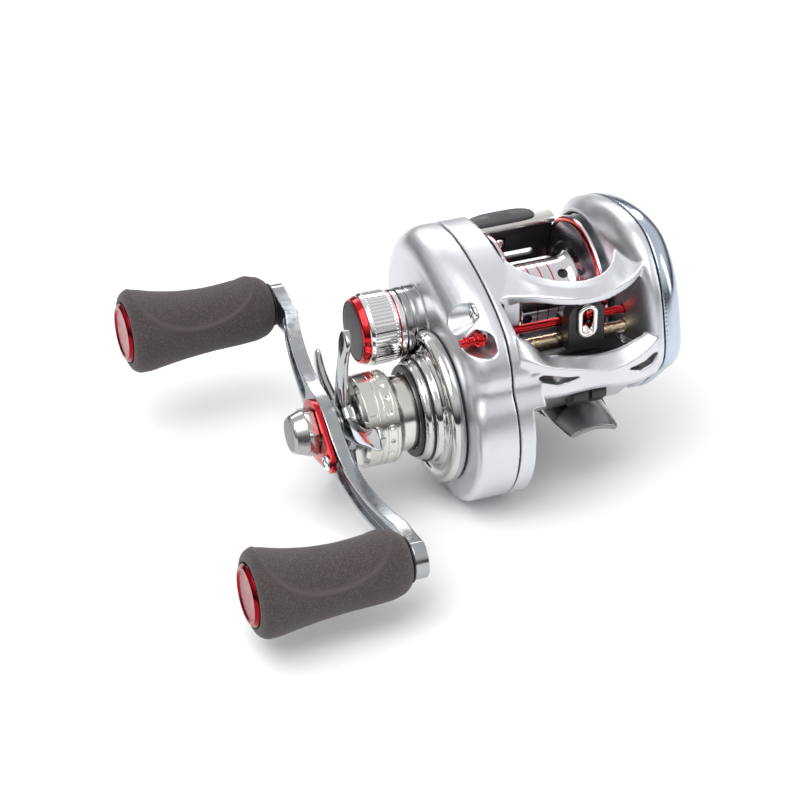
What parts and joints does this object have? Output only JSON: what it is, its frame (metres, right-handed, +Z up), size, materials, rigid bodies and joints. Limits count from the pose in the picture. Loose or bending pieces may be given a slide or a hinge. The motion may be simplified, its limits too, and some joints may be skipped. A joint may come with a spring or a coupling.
{
  "type": "baitcasting reel",
  "caption": "Low-profile baitcasting fishing reel with double-knob crank, star drag, level-wind line guide, thumb bar and rod foot.",
  "frame": {"origin": "centre of the reel foot's flat underside, where it lies on the rod's reel seat", "axes": "+X along the spool axis from the crank-handle side to the palm side, -Y the front where the line leaves, +Z up away from the rod"},
  "size_m": [0.1171, 0.1106, 0.0595],
  "materials": {
    "satin_aluminium": "satin silver, fine bead-blasted, cast edges rounded",
    "palm_cover_finish": "polished blue-grey silver",
    "chrome": "polished chrome plate",
    "red_anodised": "bright red anodised, polished",
    "black_plastic": "moulded black, fine texture",
    "foot_metal": "dark polished grey",
    "spool_aluminium": "polished, with red anodised rims and lines",
    "steel": "ground and brushed stainless steel",
    "brass": "machined brass",
    "carbon": "woven carbon friction washer",
    "champagne_aluminium": "fine turned satin, pale champagne silver",
    "gunmetal_aluminium": "polished gunmetal",
    "eva_foam": "closed-cell EVA foam, fine speckle",
    "pad_rubber": "dark grey soft rubber",
    "cap_disc": "dark grey matte",
    "eyelet_ring": "polished hard ring"
  },
  "bodies": {
    "frame": {"frame": "satin_aluminium", "handle_side_cover": "satin_aluminium", "palm_side_cover": "palm_cover_finish", "cover_screw_front": "chrome", "cover_screw_rear": "chrome", "hook_keeper": "red_anodised", "nose_cover": "black_plastic", "reel_foot": "foot_metal", "foot_screw_front": "chrome", "foot_screw_rear": "chrome", "bezel_ring": "chrome", "bezel_seal": "black_plastic", "cast_control_collar": "foot_metal", "spool_bearing_handle_side": "steel", "spool_bearing_palm_side": "steel", "brake_housing": "black_plastic", "brake_magnet_ring": "steel", "pinion_bearing": "steel", "anti_reverse_bearing": "steel", "main_shaft_bearing": "steel", "stabiliser_rod": "red_anodised", "worm_guard": "black_plastic"},
    "spool": {"spool": "spool_aluminium", "spool_shaft": "steel"},
    "clutch": {"clutch_yoke": "black_plastic", "yoke_spring_upper": "steel", "yoke_spring_lower": "steel"},
    "pinion": {"pinion_gear": "brass"},
    "thumb_bar": {"thumb_bar": "chrome", "thumb_pad": "pad_rubber", "clutch_slide_plate": "black_plastic", "slide_plate_screw": "chrome"},
    "drive": {"main_shaft": "steel", "drive_gear": "brass", "drag_washer": "carbon", "drag_pressure_plate": "steel", "level_wind_drive_gear": "black_plastic", "handle_arm": "gunmetal_aluminium", "handle_retainer_plate": "red_anodised", "handle_nut": "steel", "retainer_screw": "chrome", "knob_pin_upper": "steel", "knob_pin_lower": "steel"},
    "star": {"star_wheel": "chrome", "star_barrel": "champagne_aluminium"},
    "knob_upper": {"handle_knob_upper": "eva_foam", "knob_cap_upper": "red_anodised"},
    "knob_lower": {"handle_knob_lower": "eva_foam", "knob_cap_lower": "red_anodised"},
    "idler": {"idler_gear": "black_plastic"},
    "worm": {"worm_shaft": "brass", "worm_gear": "black_plastic"},
    "line_guide": {"line_guide": "black_plastic", "line_eyelet": "eyelet_ring", "line_guide_pawl": "brass"},
    "cast_control": {"cast_control_cap": "chrome", "cast_control_red_ring": "red_anodised", "cast_control_end_disc": "cap_disc"},
    "brake_dial": {"brake_dial": "foot_metal"}
  },
  "joints": [
    {"name": "handle_turn", "type": "hinge", "parent": "frame", "child": "drive", "pos_m": [-0.0431, -0.0144, 0.0069], "axis": [1, 0, 0], "continuous": true},
    {"name": "star_turn", "type": "hinge", "parent": "drive", "child": "star", "pos_m": [-0.0511, -0.0144, 0.0069], "axis": [1, 0, 0], "range_deg": [-360, 360]},
    {"name": "knob_upper_spin", "type": "hinge", "parent": "drive", "child": "knob_upper", "pos_m": [-0.0751, 0.03095, 0.014], "axis": [1, 0, 0], "continuous": true},
    {"name": "knob_lower_spin", "type": "hinge", "parent": "drive", "child": "knob_lower", "pos_m": [-0.0751, -0.05975, -0.0002], "axis": [1, 0, 0], "continuous": true},
    {"name": "spool_spin", "type": "hinge", "parent": "frame", "child": "spool", "pos_m": [-0.0031, 0, 0.0216], "axis": [1, 0, 0], "continuous": true},
    {"name": "thumb_bar_press", "type": "slide", "parent": "frame", "child": "thumb_bar", "axis": [0, 0, -1], "range_m": [0, 0.003]},
    {"name": "clutch_yoke_slide", "type": "slide", "parent": "frame", "child": "clutch", "axis": [-1, 0, 0], "range_m": [0, 0.0013]},
    {"name": "pinion_spin", "type": "hinge", "parent": "clutch", "child": "pinion", "pos_m": [-0.0231, 0, 0.0216], "axis": [1, 0, 0], "continuous": true},
    {"name": "idler_spin", "type": "hinge", "parent": "frame", "child": "idler", "pos_m": [-0.0207, -0.02495, 0.01378], "axis": [1, 0, 0], "continuous": true},
    {"name": "worm_spin", "type": "hinge", "parent": "frame", "child": "worm", "pos_m": [-0.0031, -0.021, 0.0222], "axis": [1, 0, 0], "continuous": true},
    {"name": "line_guide_slide", "type": "slide", "parent": "frame", "child": "line_guide", "axis": [1, 0, 0], "range_m": [-0.0093, 0.0057]},
    {"name": "cast_control_turn", "type": "hinge", "parent": "frame", "child": "cast_control", "pos_m": [-0.0431, 0, 0.0216], "axis": [1, 0, 0], "range_deg": [-360, 360]},
    {"name": "brake_dial_turn", "type": "hinge", "parent": "frame", "child": "brake_dial", "pos_m": [0.0209, 0, 0.0216], "axis": [1, 0, 0], "range_deg": [0, 300]}
  ],
  "couplings": [
    {"joint": "spool_spin", "follows": "handle_turn", "ratio": -5.3636},
    {"joint": "pinion_spin", "follows": "handle_turn", "ratio": -5.3636},
    {"joint": "idler_spin", "follows": "handle_turn", "ratio": -2},
    {"joint": "worm_spin", "follows": "handle_turn", "ratio": 1.6471},
    {"joint": "clutch_yoke_slide", "follows": "thumb_bar_press", "ratio": 0.4}
  ]
}
